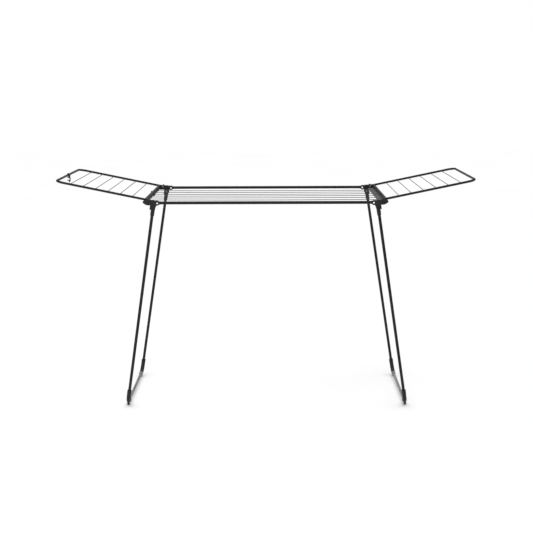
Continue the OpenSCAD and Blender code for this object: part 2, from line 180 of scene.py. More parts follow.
def sweep(bm, points, radius, sides):
    """A round bar with flat ends along a list of points."""
    rings = []
    side = None
    for i, p in enumerate(points):
        ahead = points[min(i + 1, len(points) - 1)] - points[max(i - 1, 0)]
        ahead.normalize()
        if side is None:
            side = ahead.orthogonal().normalized()
        side = (side - ahead * side.dot(ahead)).normalized()
        up = ahead.cross(side)
        turn = [TAU * k / sides for k in range(sides)]
        rings.append([bm.verts.new(p + radius * (side * math.cos(a) + up * math.sin(a))) for a in turn])
    for a, b in zip(rings, rings[1:]):
        for i in range(sides):
            j = (i + 1) % sides
            bm.faces.new((a[i], a[j], b[j], b[i]))
    bm.faces.new(rings[0])
    bm.faces.new(list(reversed(rings[-1])))


def prism(bm, outline, y0, y1, bevel, segments=3, inset=None, place=None):
    """A plate in X and Z from y0 to y1 with rounded rims.
    inset = (border, depth) sinks a panel into the face at y0, and place moves the whole plate."""
    plate = bmesh.new()
    base = plate.faces.new([plate.verts.new((x, y0, z)) for x, z in outline])
    extruded = bmesh.ops.extrude_face_region(plate, geom=[base])
    moved = [v for v in extruded["geom"] if isinstance(v, bmesh.types.BMVert)]
    bmesh.ops.translate(plate, verts=moved, vec=(0, y1 - y0, 0))
    if inset:
        outer = min(plate.faces, key=lambda f: f.calc_center_median().y * (1 if y0 < y1 else -1))
        border, depth = inset
        bmesh.ops.inset_region(plate, faces=[outer], thickness=border)
        sunk = bmesh.ops.extrude_face_region(plate, geom=[outer])
        floor = [v for v in sunk["geom"] if isinstance(v, bmesh.types.BMVert)]
        bmesh.ops.translate(plate, verts=floor, vec=(0, math.copysign(depth, y1 - y0), 0))
        bmesh.ops.delete(plate, geom=[outer], context="FACES_ONLY")
    bmesh.ops.recalc_face_normals(plate, faces=plate.faces)
    rims = [e for e in plate.edges if len(e.link_faces) == 2 and e.calc_face_angle(0) > RIM_ANGLE]
    bmesh.ops.bevel(
        plate, geom=rims, offset=bevel, segments=segments, profile=0.5, affect="EDGES", clamp_overlap=True
    )
    if place:
        bmesh.ops.transform(plate, matrix=place, verts=plate.verts)
    merge(bm, plate)


def merge(bm, other):
    """Adds another bmesh to bm."""
    holder = bpy.data.meshes.new("holder")
    other.to_mesh(holder)
    bm.from_mesh(holder)
    bpy.data.meshes.remove(holder)
    other.free()


def finish_mesh(name, bm, mirror_x=False, mirror_y=False):
    """Turns a right front shape into an object at the asked place, smooth except at sharp edges."""
    scale = Matrix.Diagonal((-1 if mirror_x else 1, -1 if mirror_y else 1, 1, 1))
    bmesh.ops.transform(bm, matrix=scale, verts=bm.verts)
    bmesh.ops.recalc_face_normals(bm, faces=bm.faces)
    mesh = bpy.data.meshes.new(name)
    bm.to_mesh(mesh)
    bm.free()
    mesh.polygons.foreach_set("use_smooth", [True] * len(mesh.polygons))
    mesh.set_sharp_from_angle(angle=SHARP_ANGLE)
    piece = bpy.data.objects.new(name, mesh)
    bpy.context.scene.collection.objects.link(piece)
    return piece


def place_piece(piece, body, slot, *nodes):
    """Gives a new piece the material of its slot, the body it rides on and the CAD nodes it stands for."""
    piece.data.materials.append(MATERIALS[slot])
    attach(piece, body)
    if nodes:
        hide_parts(*nodes)


# ---------- materials ----------

class Nodes:
    """A short way to build one node material."""

    def __init__(self, name):
        """Starts a material with its shader and its object coordinates."""
        self.material = bpy.data.materials.new(name)
        self.material.use_nodes = True
        self.tree = self.material.node_tree
        self.shader = self.tree.nodes["Principled BSDF"]
        self.coords = self.tree.nodes.new("ShaderNodeTexCoord")

    def link(self, a, b):
        """Joins an output to an input."""
        self.tree.links.new(a, b)

    def noise(self, scale, detail, stretch=None):
        """3-D noise in object space, with scale in waves to the metre, times stretch in each direction."""
        node = self.tree.nodes.new("ShaderNodeTexNoise")
        node.inputs["Scale"].default_value = scale
        node.inputs["Detail"].default_value = detail
        source = self.coords.outputs["Object"]
        if stretch:
            mapping = self.tree.nodes.new("ShaderNodeMapping")
            mapping.inputs["Scale"].default_value = stretch
            self.link(source, mapping.inputs["Vector"])
            source = mapping.outputs["Vector"]
        self.link(source, node.inputs["Vector"])
        return node.outputs["Fac"]

    def ramp(self, value, stops):
        """Turns a value into a colour or a grey by stops of (place, colour)."""
        node = self.tree.nodes.new("ShaderNodeValToRGB")
        elements = node.color_ramp.elements
        while len(elements) < len(stops):
            elements.new(0.5)
        for element, (place, colour) in zip(elements, stops):
            element.position = place
            element.color = (*colour, 1) if isinstance(colour, tuple) else (colour, colour, colour, 1)
        self.link(value, node.inputs["Fac"])
        return node.outputs["Color"]

    def mix(self, factor, a, b):
        """Blends two colours by a factor that varies over the surface."""
        node = self.tree.nodes.new("ShaderNodeMix")
        node.data_type = "RGBA"
        self.link(factor, node.inputs["Factor"])
        self.link(a, node.inputs["A"])
        self.link(b, node.inputs["B"])
        return node.outputs["Result"]

    def bump(self, height, strength, distance):
        """Adds one layer of bump over the layers before it."""
        node = self.tree.nodes.new("ShaderNodeBump")
        node.inputs["Strength"].default_value = strength
        node.inputs["Distance"].default_value = distance
        self.link(height, node.inputs["Height"])
        normal = self.shader.inputs["Normal"]
        if normal.is_linked:
            self.link(normal.links[0].from_socket, node.inputs["Normal"])
        self.link(node.outputs["Normal"], normal)


def shade(colour, factor):
    """The colour made darker or lighter by a factor."""
    return tuple(min(1.0, c * factor) for c in colour)


# Specular level of the coatings and mouldings, which are duller than bare plastic
GLOSS = 0.22


def coated_steel(name, colour, roughness, peel=0.35, wear=3.2):
    """Powder-coated tube: orange peel, slow tone drift, dusty patches and small rubbed specks."""
    n = Nodes(name)
    drift = n.ramp(n.noise(9, 2), [(0.3, shade(colour, 0.7)), (0.7, shade(colour, 1.4))])
    rubbed = n.ramp(n.noise(130, 6), [(0.25, colour), (0.75, shade(colour, wear))])
    spots = n.ramp(n.noise(48, 5), [(0.6, 0.0), (0.74, 1.0)])
    n.link(n.mix(spots, drift, rubbed), n.shader.inputs["Base Color"])
    rough = n.ramp(n.noise(34, 4), [(0.25, roughness - 0.1), (0.75, roughness + 0.14)])
    n.link(rough, n.shader.inputs["Roughness"])
    n.bump(n.noise(700, 2), strength=peel, distance=0.12 * MM)
    n.bump(n.noise(60, 3), strength=0.12, distance=0.4 * MM)
    n.shader.inputs["Specular IOR Level"].default_value = GLOSS
    return n.material


def moulded_plastic(name, colour, roughness, wear=3.0):
    """Injection-moulded plastic: spark-eroded grain, flow marks and paler handled spots."""
    n = Nodes(name)
    flow = n.ramp(n.noise(28, 3, (1, 1, 2.5)), [(0.3, shade(colour, 0.85)), (0.7, shade(colour, 1.2))])
    handled = n.ramp(n.noise(75, 5), [(0.3, shade(colour, 1.1)), (0.7, shade(colour, wear))])
    spots = n.ramp(n.noise(40, 4), [(0.56, 0.0), (0.7, 1.0)])
    n.link(n.mix(spots, flow, handled), n.shader.inputs["Base Color"])
    rough = n.ramp(n.noise(90, 4), [(0.3, roughness - 0.1), (0.7, roughness + 0.13)])
    n.link(rough, n.shader.inputs["Roughness"])
    n.bump(n.noise(2600, 2), strength=0.4, distance=0.06 * MM)
    n.bump(n.noise(45, 2), strength=0.1, distance=0.3 * MM)
    n.shader.inputs["Specular IOR Level"].default_value = GLOSS
    return n.material


def brushed_rivet(name, colour, roughness):
    """Dull plated steel with fine brushed marks across Y."""
    n = Nodes(name)
    plating = n.ramp(n.noise(220, 4), [(0.3, shade(colour, 0.7)), (0.7, shade(colour, 1.25))])
    n.link(plating, n.shader.inputs["Base Color"])
    rough = n.ramp(n.noise(300, 3), [(0.3, roughness - 0.1), (0.7, roughness + 0.12)])
    n.link(rough, n.shader.inputs["Roughness"])
    n.bump(n.noise(900, 3, (1, 6, 1)), strength=0.25, distance=0.1 * MM)
    n.shader.inputs["Metallic"].default_value = 1.0
    return n.material


def matt_rubber(name, colour):
    """Rubber with a dusty, slightly scuffed surface."""
    n = Nodes(name)
    dust = n.ramp(n.noise(160, 6), [(0.35, colour), (0.75, shade(colour, 2.2))])
    n.link(dust, n.shader.inputs["Base Color"])
    rough = n.ramp(n.noise(240, 3), [(0.3, 0.72), (0.7, 0.92)])
    n.link(rough, n.shader.inputs["Roughness"])
    n.bump(n.noise(1500, 3), strength=0.5, distance=0.1 * MM)
    return n.material


MATERIALS = {
    "tube_black": coated_steel("tube_black", (0.007, 0.007, 0.0074), 0.4),
    "wire_coat": coated_steel("wire_coat", (0.04, 0.04, 0.0415), 0.42, peel=0.2, wear=1.6),
    "moulding_black": moulded_plastic("moulding_black", (0.012, 0.012, 0.0125), 0.42),
    "plate_grey": moulded_plastic("plate_grey", (0.065, 0.065, 0.067), 0.5, wear=1.35),
    "bar_grey": coated_steel("bar_grey", (0.2, 0.2, 0.204), 0.45, peel=0.3, wear=1.3),
    "rubber_black": matt_rubber("rubber_black", (0.014, 0.014, 0.0145)),
    "rivet_steel": brushed_rivet("rivet_steel", (0.14, 0.14, 0.145), 0.42),
}


def paint_cad_nodes():
    """Gives every CAD node the material of its slot."""
    for entry in frame["record"]["subparts"]:
        node = frame["nodes"][entry["node"]]
        node.data.materials.clear()
        node.data.materials.append(MATERIALS[entry["material_slot"]])


# ---------- corner brackets ----------

WING_LUG_R = 6.5 * MM
LEG_LUG_R = 10 * MM
NOSE_X = BRACKET_HIGH.x
NOSE_LENGTH = 26 * MM
NOSE_RISE = 13 * MM
NOSE_UNDER_R = (NOSE_LENGTH ** 2 + NOSE_RISE ** 2) / (2 * NOSE_RISE)
NOSE_TOP_R = 8 * MM
HOUSING_TOP = TUBE.z + 11 * MM
HOUSING_BOTTOM = TUBE.z - 9.5 * MM
HOUSING_OUT = BRACKET_LOW.y
HOUSING_IN = HOUSING_OUT + 17 * MM
SOCKET_IN = BRACKET_HIGH.y
SOCKET_WALL = 3 * MM
STOP_GAP = 0.35 * MM
RING_R = 9.8 * MM
RING_T = 13 * MM
RING_HOLE_R = 4 * MM
# How far one form of a moulding reaches into the next
OVERLAP = 1 * MM


def nose_curve():
    """The nose from its flat underside, up the long lower arc, round the tip to its flat top."""
    start_x = NOSE_X - NOSE_LENGTH
    sweep_angle = math.degrees(math.asin(NOSE_LENGTH / NOSE_UNDER_R))
    under = arc(start_x, HOUSING_BOTTOM + NOSE_UNDER_R, NOSE_UNDER_R, -90, sweep_angle - 90, 24)
    tip_z = HOUSING_TOP - NOSE_TOP_R
    return under[:-1] + arc(NOSE_X - NOSE_TOP_R, tip_z, NOSE_TOP_R, 4, 90, 16)


def housing_outline():
    """Outline of the bracket's housing, round the leg's pivot, the nose and the wing's pivot."""
    start_x = RING.x + 6 * MM
    slope_x = start_x + 9 * MM
    slope_z = HOUSING_TOP - 5 * MM
    leg_side = math.degrees(math.asin((HOUSING_BOTTOM - LEG_PIVOT.z) / LEG_LUG_R))
    wing_side = math.degrees(math.asin((HOUSING_TOP - WING_PIVOT.z) / WING_LUG_R))
    points = [(slope_x, HOUSING_TOP), (start_x, slope_z), (start_x, HOUSING_BOTTOM)]
    points += arc(LEG_PIVOT.x, LEG_PIVOT.z, LEG_LUG_R, 180 - leg_side, 360 + leg_side, 24)
    points += nose_curve()
    points += arc(WING_PIVOT.x, WING_PIVOT.z, WING_LUG_R, wing_side, 180 - wing_side, 14)
    return points


def shelf_z(x):
    """Height of the sloped shelf that the opened wing's side rail rests on."""
    drop = (RAIL_R + STOP_GAP) / math.cos(WING_RISE)
    return WING_PIVOT.z + (x - WING_PIVOT.x) * math.tan(WING_RISE) - drop


def socket_outline():
    """The rail socket: the nose's curve, cut off by the shelf and by its inner side."""
    inner_x = END_RAIL.x - RAIL_R - SOCKET_WALL
    points = [(x, z) for x, z in nose_curve() if x > inner_x and z < shelf_z(x)]
    return points + [(inner_x, shelf_z(inner_x)), (inner_x, HOUSING_BOTTOM + 1 * MM)]


def add_ribs(bm):
    """Three upright ribs in the sunk outer panel."""
    width = 1.5 * MM
    low = HOUSING_BOTTOM + 2 * MM
    high = HOUSING_TOP - 2 * MM
    for k in range(3):
        x = WING_PIVOT.x + (9.5 * k - 19) * MM
        rib = [(x, low), (x + width, low), (x + width, high), (x, high)]
        prism(bm, rib, HOUSING_OUT + 0.35 * MM, HOUSING_OUT + 2 * MM, bevel=0.3 * MM, segments=2)


def add_outer_bosses(bm):
    """A raised boss over each blind rivet bore, with a small ring standing on it."""
    for pivot, r in ((WING_PIVOT, 4.6 * MM), (LEG_PIVOT, 6.6 * MM)):
        at = Matrix.Translation((pivot.x, 0, pivot.z)) @ ALONG_Y
        lathe(bm, rounded_profile(r, HOUSING_OUT, HOUSING_OUT + 3 * MM, round_r=0.7 * MM), at)
        front = HOUSING_OUT - 0.3 * MM
        small_ring = collar_profile(1.1 * MM, 2 * MM, front, front + 1.3 * MM, round_r=0.25 * MM)
        lathe(bm, small_ring, at, closed=True)


def add_ring_and_shoulder(bm):
    """The hanger ring, the rounded shoulder above it and the collar over the tube's end."""
    half = RING_T / 2
    ring = collar_profile(RING_HOLE_R, RING_R, -half, half, round_r=1.8 * MM)
    lathe(bm, ring, Matrix.Translation((RING.x, TUBE.y, RING.z)) @ ALONG_Y, steps=56, closed=True)
    inner_x = RING.x - 6 * MM
    outer_x = RING.x + 17 * MM
    base = RING.z + RING_HOLE_R + 1 * MM
    top = TUBE.z + 9.7 * MM
    corner = 4 * MM
    shoulder = [(outer_x, base)]
    shoulder += arc(outer_x - corner, top - corner, corner, 0, 90, 8)
    shoulder += arc(inner_x + corner, top - corner, corner, 90, 180, 8)
    shoulder += [(inner_x, base)]
    prism(bm, shoulder, TUBE.y - half, TUBE.y + half, bevel=1.5 * MM)
    start = TUBE_END - 4 * MM
    collar = collar_profile(TUBE_R - 0.6 * MM, TUBE_R + 0.8 * MM, start, start + 7 * MM, round_r=0.5 * MM)
    lathe(bm, collar, Matrix.Translation((0, TUBE.y, TUBE.z)) @ ALONG_X, closed=True)


def add_rail_socket(bm):
    """The block that holds the end rail, with a lip round the rail."""
    prism(bm, socket_outline(), HOUSING_IN - OVERLAP, SOCKET_IN, bevel=0.6 * MM)
    start = SOCKET_IN - 2 * MM
    lip = collar_profile(RAIL_R - 0.3 * MM, RAIL_R + 1.1 * MM, start, start + 2.8 * MM, round_r=0.4 * MM)
    lathe(bm, lip, Matrix.Translation((END_RAIL.x, 0, END_RAIL.z)) @ ALONG_Y, closed=True)


def add_leg_stop(bm):
    """The tab behind the leg, on a web below the housing."""
    tab = SLEEVE_R + STOP_GAP
    end = tab + 4 * MM
    top = math.sqrt((KNUCKLE_R + STOP_GAP) ** 2 - tab ** 2)
    bottom = top + 9 * MM
    web = [(0, 0), (0, -bottom), (end, -bottom), (end, 0)]
    face = [(tab, -bottom), (end, -bottom), (end, -top), (tab, -top)]
    prism(bm, web, HOUSING_IN - 5 * MM, HOUSING_IN, bevel=0.6 * MM, place=RIGHT_LEGS)
    prism(bm, face, HOUSING_IN - OVERLAP, -KNUCKLE_Y - 2 * MM, bevel=0.5 * MM, place=RIGHT_LEGS)


def add_spacer_bosses(bm):
    """The bosses that space the wing and the leg off the housing."""
    for pivot, r, end in (
        (WING_PIVOT, 6 * MM, EYE_LOW.y - SIDE_GAP),
        (LEG_PIVOT, 8 * MM, -KNUCKLE_Y - KNUCKLE_HALF - SIDE_GAP),
    ):
        at = Matrix.Translation((pivot.x, 0, pivot.z)) @ ALONG_Y
        lathe(bm, rounded_profile(r, HOUSING_IN - OVERLAP, end, round_r=0.3 * MM), at)


def bracket_mesh():
    """The right front bracket: housing, ribs, hanger ring, rail socket, stops and bosses."""
    bm = bmesh.new()
    prism(bm, housing_outline(), HOUSING_OUT, HOUSING_IN, bevel=0.9 * MM, inset=(1.9 * MM, 1.1 * MM))
    add_ribs(bm)
    add_outer_bosses(bm)
    add_ring_and_shoulder(bm)
    add_rail_socket(bm)
    add_leg_stop(bm)
    add_spacer_bosses(bm)
    return bm


def build_brackets():
    """One moulding in place of each of the four brackets."""
    for end, mirror_y in ENDS:
        for side, mirror_x in SIDES:
            node = f"{end}_{side}_bracket"
            piece = finish_mesh(f"{node}_moulding", bracket_mesh(), mirror_x, mirror_y)
            place_piece(piece, "centre_frame", "moulding_black", node)


# ---------- rivets ----------

def rivet_profile(low, high):
    """Shank from low to high, then a domed head with a thin rim."""
    head_r = RIVET_R + 2.5 * MM
    head_h = 2.8 * MM
    rim = 0.6 * MM
    ease = 0.2 * MM
    steps = 8
    turn = [math.pi / 2 * i / steps for i in range(steps)]
    dome = [(head_r * math.cos(t), high + rim + (head_h - rim) * math.sin(t)) for t in turn]
    shank = [(0, low), (RIVET_R, low), (RIVET_R, high), (head_r - ease, high), (head_r, high + ease)]
    return shank + dome + [(0, high + head_h)]


def build_rivets():
    """The four wing rivets and the four leg rivets, one piece for each group."""
    bore_depth = 12 * MM
    for node, pivot, head_y in (
        ("wing_hinge_rivets", WING_PIVOT, EYE_HIGH.y + SIDE_GAP),
        ("leg_pivot_rivets", LEG_PIVOT, -KNUCKLE_Y + KNUCKLE_HALF + SIDE_GAP),
    ):
        bm = bmesh.new()
        for sx in (-1, 1):
            for turn in (0, math.pi):
                at = Matrix.Translation((sx * pivot.x, 0, pivot.z)) @ Matrix.Rotation(turn, 4, "Z")
                lathe(bm, rivet_profile(HOUSING_IN - bore_depth, head_y), at @ ALONG_Y, steps=32)
        piece = finish_mesh(f"{node}_domed", bm)
        place_piece(piece, "centre_frame", "rivet_steel", node)


# ---------- wires and welds ----------

WIRE_SAG = 1.6 * MM
# How far a wire and its weld reach into the rail
WELD_ROOT = 0.8 * MM


def centre_wire_ys():
    """The places of the centre wires across the rack."""
    return [(i / (WIRE_COUNT - 1) - 0.5) * WIRE_SPAN for i in range(WIRE_COUNT)]


def build_centre_wires():
    """Long wires that sag under their own weight between the end rails, no two quite alike."""
    bm = bmesh.new()
    reach = END_RAIL.x - RAIL_R + WELD_ROOT
    steps = 40
    for k, y in enumerate(centre_wire_ys()):
        sag = WIRE_SAG * (0.7 + 0.3 * math.cos(2.1 * k))
        along = [2 * i / steps - 1 for i in range(steps + 1)]
        sweep(bm, [Vector((t * reach, y, WIRE_Z - sag * (1 - t * t))) for t in along], WIRE_R, 14)
    piece = finish_mesh("centre_wires_strung", bm)
    place_piece(piece, "centre_frame", "wire_coat", "centre_wires")


def weld_profile():
    """A concave fillet, from the rail's surface up the wire."""
    inner = WIRE_R * 0.98
    outer = WIRE_R * 1.75
    length = 2.6 * MM
    steps = 6
    curve = [math.pi / 2 * i / steps for i in range(steps + 1)]
    flare = [(outer - (outer - inner) * math.sin(t), length * (1 - math.cos(t))) for t in curve]
    return [(0, -WELD_ROOT), (outer, -WELD_ROOT)] + flare + [(0, length)]


def add_weld(bm, at, direction):
    """A weld fillet where a wire leaves its rail in the given direction."""
    turn = Vector((0, 0, 1)).rotation_difference(direction).to_matrix().to_4x4()
    lathe(bm, weld_profile(), Matrix.Translation(at) @ turn, steps=18)


def wing_wire_places():
    """X and Z of each wire on the right wing."""
    low, high = (Vector(p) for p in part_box("right_wing_wires"))
    first = low.x + WIRE_R
    last = high.x - WIRE_R
    xs = [first + (last - first) * i / (WIRE_COUNT - 1) for i in range(WIRE_COUNT)]
    return [(x, WING_PIVOT.z + (x - WING_PIVOT.x) * math.tan(WING_RISE)) for x in xs]


def build_welds():
    """The welds of the centre wires, and those of each wing's wires."""
    bm = bmesh.new()
    for y in centre_wire_ys():
        for sx in (-1, 1):
            add_weld(bm, Vector((sx * (END_RAIL.x - RAIL_R), y, WIRE_Z)), Vector((-sx, 0, 0)))
    piece = finish_mesh("centre_wire_welds", bm)
    place_piece(piece, "centre_frame", "tube_black")
    for side, mirror_x in SIDES:
        bm = bmesh.new()
        for x, z in wing_wire_places():
            for sy in (-1, 1):
                add_weld(bm, Vector((x, sy * (WING_Y - RAIL_R), z)), Vector((0, -sy, 0)))
        piece = finish_mesh(f"{side}_wing_welds", bm, mirror_x)
        place_piece(piece, f"{side}_wing", "tube_black")


# ---------- wing hinges ----------

def wing_hinge_mesh():
    """The moulded eye, its neck and the collar over the rail's end."""
    bm = bmesh.new()
    at = RIGHT_WING @ Matrix.Translation((0, -WING_Y, 0))
    half = (EYE_HIGH.y - EYE_LOW.y) / 2
    eye = collar_profile(RIVET_BORE_R, 6.5 * MM, -half, half, round_r=0.9 * MM)
    lathe(bm, eye, at @ ALONG_Y, closed=True)
    neck_r = 4.9 * MM
    collar_r = 5.5 * MM
    start = 4.6 * MM
    end = 12 * MM
    profile = [(0, start), (neck_r, start), (neck_r, 6.6 * MM), (5.35 * MM, 7 * MM), (collar_r, 7.4 * MM)]
    profile += [(collar_r, 11.4 * MM), (5.3 * MM, 11.8 * MM), (neck_r, end), (0, end)]
    lathe(bm, profile, at @ ALONG_X)
    return bm


def build_wing_hinges():
    """A front and a rear hinge eye on each wing."""
    for side, mirror_x in SIDES:
        for end, mirror_y in ENDS:
            node = f"{side}_wing_{end}_hinge"
            piece = finish_mesh(f"{node}_eye", wing_hinge_mesh(), mirror_x, mirror_y)
            place_piece(piece, f"{side}_wing", "moulding_black", node)


# ---------- legs ----------

def knuckle_mesh():
    """Pivot eye and sleeve of a leg, with side gussets and a lip at the sleeve's mouth."""
    bm = bmesh.new()
    at = RIGHT_LEGS @ Matrix.Translation((0, -KNUCKLE_Y, 0))
    eye = collar_profile(RIVET_BORE_R, KNUCKLE_R, -KNUCKLE_HALF, KNUCKLE_HALF, round_r=1.6 * MM, steps=6)
    lathe(bm, eye, at @ ALONG_Y, steps=56, closed=True)
    start = 5 * MM
    mouth = 42 * MM
    waist = SLEEVE_R - 0.2 * MM
    sleeve = [(0, start), (SLEEVE_R, start), (SLEEVE_R, 30 * MM), (waist, 38 * MM), (waist, 39.6 * MM)]
    lip = [(SLEEVE_R, 40.2 * MM), (SLEEVE_R, 42.6 * MM), (waist, 43.3 * MM), (6.4 * MM, 43.5 * MM)]
    lathe(bm, sleeve + lip + [(6.2 * MM, mouth), (0, mouth)], DOWN_FRONT_LEG)
    gusset = [(-10.8 * MM, -4 * MM), (-8 * MM, -24 * MM), (8 * MM, -24 * MM), (10.8 * MM, -4 * MM)]
    prism(bm, gusset, -3 * MM, 3 * MM, bevel=0.8 * MM, place=at)
    return bm


def foot_path():
    """Centre line of the bend from the leg to the floor bar, in the leg frame's own plane."""
    centre = Vector((0, -BAR_HALF, FOOT_BEND_R - LEG_DROP))
    steps = 24
    points = []
    for i in range(steps + 1):
        a = math.pi + LEG_TAPER + (math.pi / 2 - LEG_TAPER) * i / steps
        points.append(centre + Vector((0, math.cos(a), math.sin(a))) * FOOT_BEND_R)
    return points


def foot_mesh():
    """Moulded elbow: the bend to the floor bar, below a sleeve with a stepped mouth and two grip ribs."""
    bm = bmesh.new()
    path = foot_path()
    sweep(bm, [RIGHT_LEGS @ p for p in path], ELBOW_R, 36)
    wide = ELBOW_R + 0.6 * MM
    waist = ELBOW_R + 0.1 * MM
    crest = wide - 0.2 * MM
    crest_half = 0.6 * MM
    rib_half = 1 * MM
    # Heights run down the leg, with 0 where the bend starts
    profile = [(0, -23 * MM), (6.6 * MM, -23.6 * MM), (wide - 0.4 * MM, -24 * MM)]
    profile += [(wide, -23.5 * MM), (wide, -20.8 * MM), (waist, -20.2 * MM)]
    for rib in (-12 * MM, -6.4 * MM):
        profile += [(waist, rib - rib_half), (crest, rib - crest_half)]
        profile += [(crest, rib + crest_half), (waist, rib + rib_half)]
    profile += [(ELBOW_R, 0), (0, 0)]
    start = (path[0] - Vector((0, -KNUCKLE_Y, 0))).length
    lathe(bm, profile, DOWN_FRONT_LEG @ Matrix.Translation((0, 0, start)), steps=48)
    return bm


def collars_mesh():
    """Two collars at the ends of the floor bar, with a step and a rounded rim."""
    bm = bmesh.new()
    end = -BAR_HALF
    rim = ELBOW_R + 0.5 * MM
    bore = BAR_R - 0.1 * MM
    length = 12 * MM
    profile = [(ELBOW_R - 0.4 * MM, end), (rim, end + 0.7 * MM), (rim, end + 7 * MM)]
    profile += [(rim - 0.6 * MM, end + 8 * MM), (rim - 0.9 * MM, end + 11 * MM)]
    profile += [(rim - 1.9 * MM, end + length), (bore, end + length), (bore, end)]
    bar = RIGHT_LEGS @ Matrix.Translation((0, 0, -LEG_DROP))
    for turn in (0, math.pi):
        lathe(bm, profile, bar @ Matrix.Rotation(turn, 4, "Z") @ ALONG_Y, closed=True)
    return bm


def pads_mesh():
    """Round rubber studs under the feet, with a dimple below, an eased edge and a groove round each."""
    bm = bmesh.new()
    low, high = (Vector(p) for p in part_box("right_foot_pads"))
    radius = (high.x - low.x) / 2
    edge = 1.5 * MM
    groove = radius - 0.5 * MM
    dimple = 0.5 * MM
    profile = [(0, dimple), (1.6 * MM, dimple), (2 * MM, 0), (radius - edge, 0)]
    profile += [(radius - 0.4 * edge, 0.25 * edge), (radius, edge), (radius, 4.2 * MM)]
    profile += [(groove, 4.6 * MM), (groove, 5.6 * MM), (radius, 6 * MM), (radius, high.z), (0, high.z)]
    for sy in (-1, 1):
        at = Matrix.Translation(((low.x + high.x) / 2, sy * (high.y - radius), 0))
        lathe(bm, profile, at, steps=36)
    return bm


def build_legs():
    """The mouldings, collars and studs on each pair of legs."""
    for side, mirror_x in SIDES:
        body = f"{side}_legs"
        for end, mirror_y in ENDS:
            knuckle = finish_mesh(f"{side}_{end}_knuckle_moulding", knuckle_mesh(), mirror_x, mirror_y)
            place_piece(knuckle, body, "moulding_black", f"{side}_{end}_knuckle")
            foot = finish_mesh(f"{side}_{end}_foot_elbow", foot_mesh(), mirror_x, mirror_y)
            place_piece(foot, body, "moulding_black", f"{side}_{end}_foot")
        collars = finish_mesh(f"{side}_bar_collars_turned", collars_mesh(), mirror_x)
        place_piece(collars, body, "bar_grey", f"{side}_bar_collars")
        pads = finish_mesh(f"{side}_foot_studs", pads_mesh(), mirror_x)
        place_piece(pads, body, "rubber_black", f"{side}_foot_pads")


# ---------- end pieces ----------

# A prism is drawn in X and Z and is thick along Y. LAID_FLAT lays it in X and Y, thick along Z,
# and ACROSS swaps its X and Y
LAID_FLAT = Matrix(((1, 0, 0, 0), (0, 0, 1, 0), (0, -1, 0, 0), (0, 0, 0, 1)))
ACROSS = Matrix(((0, 1, 0, 0), (1, 0, 0, 0), (0, 0, 1, 0), (0, 0, 0, 1)))


def build_cover_plate():
    """Blank cover plate with rounded rims, a sunk panel and its wire saddles."""
    low, high = (Vector(p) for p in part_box("end_cover_plate"))
    plate_t = 2.8 * MM
    corner = 9 * MM
    saddle_half = 4 * MM
    saddle_border = 7 * MM
    outline = []
    for cx, cy, a in (
        (high.x - corner, high.y - corner, 0),
        (low.x + corner, high.y - corner, 90),
        (low.x + corner, low.y + corner, 180),
        (high.x - corner, low.y + corner, 270),
    ):
        outline += arc(cx, cy, corner, a, a + 90, 8)
    bm = bmesh.new()
    panel = (2.6 * MM, 0.7 * MM)
    prism(bm, outline, -high.z, -high.z + plate_t, bevel=0.8 * MM, inset=panel, place=LAID_FLAT)
    under = high.z - plate_t
    for y in centre_wire_ys():
        front = y - saddle_half
        rear = y + saddle_half
        saddle = [(front, low.z), (rear, low.z), (rear, under), (front, under)]
        prism(bm, saddle, low.x + saddle_border, high.x - saddle_border, bevel=0.6 * MM, place=ACROSS)
    piece = finish_mesh("end_cover_plate_moulding", bm)
    place_piece(piece, "centre_frame", "plate_grey", "end_cover_plate")


def build_saddle():
    """Saddle clamped on the left end rail, with a slot for the wing's cross tube."""
    cross = centre_of("right_wing_cross_tube")
    cross_u = (cross.x - WING_PIVOT.x) / math.cos(WING_RISE)
    wall = 2.6 * MM
    notch = RAIL_R + STOP_GAP
    cheek = notch + wall
    half = size_of("wing_rest_saddle").y / 2
    inner_rise = 1.5 * MM
    outer_rise = 4.5 * MM
    outline = [(cross_u - notch, inner_rise), (cross_u - cheek, inner_rise), (cross_u - cheek, -cheek)]
    outline += [(cross_u + cheek, -cheek), (cross_u + cheek, outer_rise), (cross_u + notch, outer_rise)]
    outline += arc(cross_u, 0, notch, 0, -180, 24)
    bm = bmesh.new()
    prism(bm, outline, -half, half, bevel=0.8 * MM, place=RIGHT_WING)
    clamp = collar_profile(RAIL_R - 0.05 * MM, RAIL_R + wall, -half, half, round_r=0.8 * MM)
    lathe(bm, clamp, Matrix.Translation((END_RAIL.x, 0, END_RAIL.z)) @ ALONG_Y, closed=True)
    piece = finish_mesh("wing_rest_saddle_moulding", bm, mirror_x=True)
    place_piece(piece, "centre_frame", "moulding_black", "wing_rest_saddle")


CLIP_REACH = 18 * MM
CLIP_TAB = 15 * MM
CLIP_STEM_IN = 3 * MM
CLIP_STEM_OUT = 8 * MM


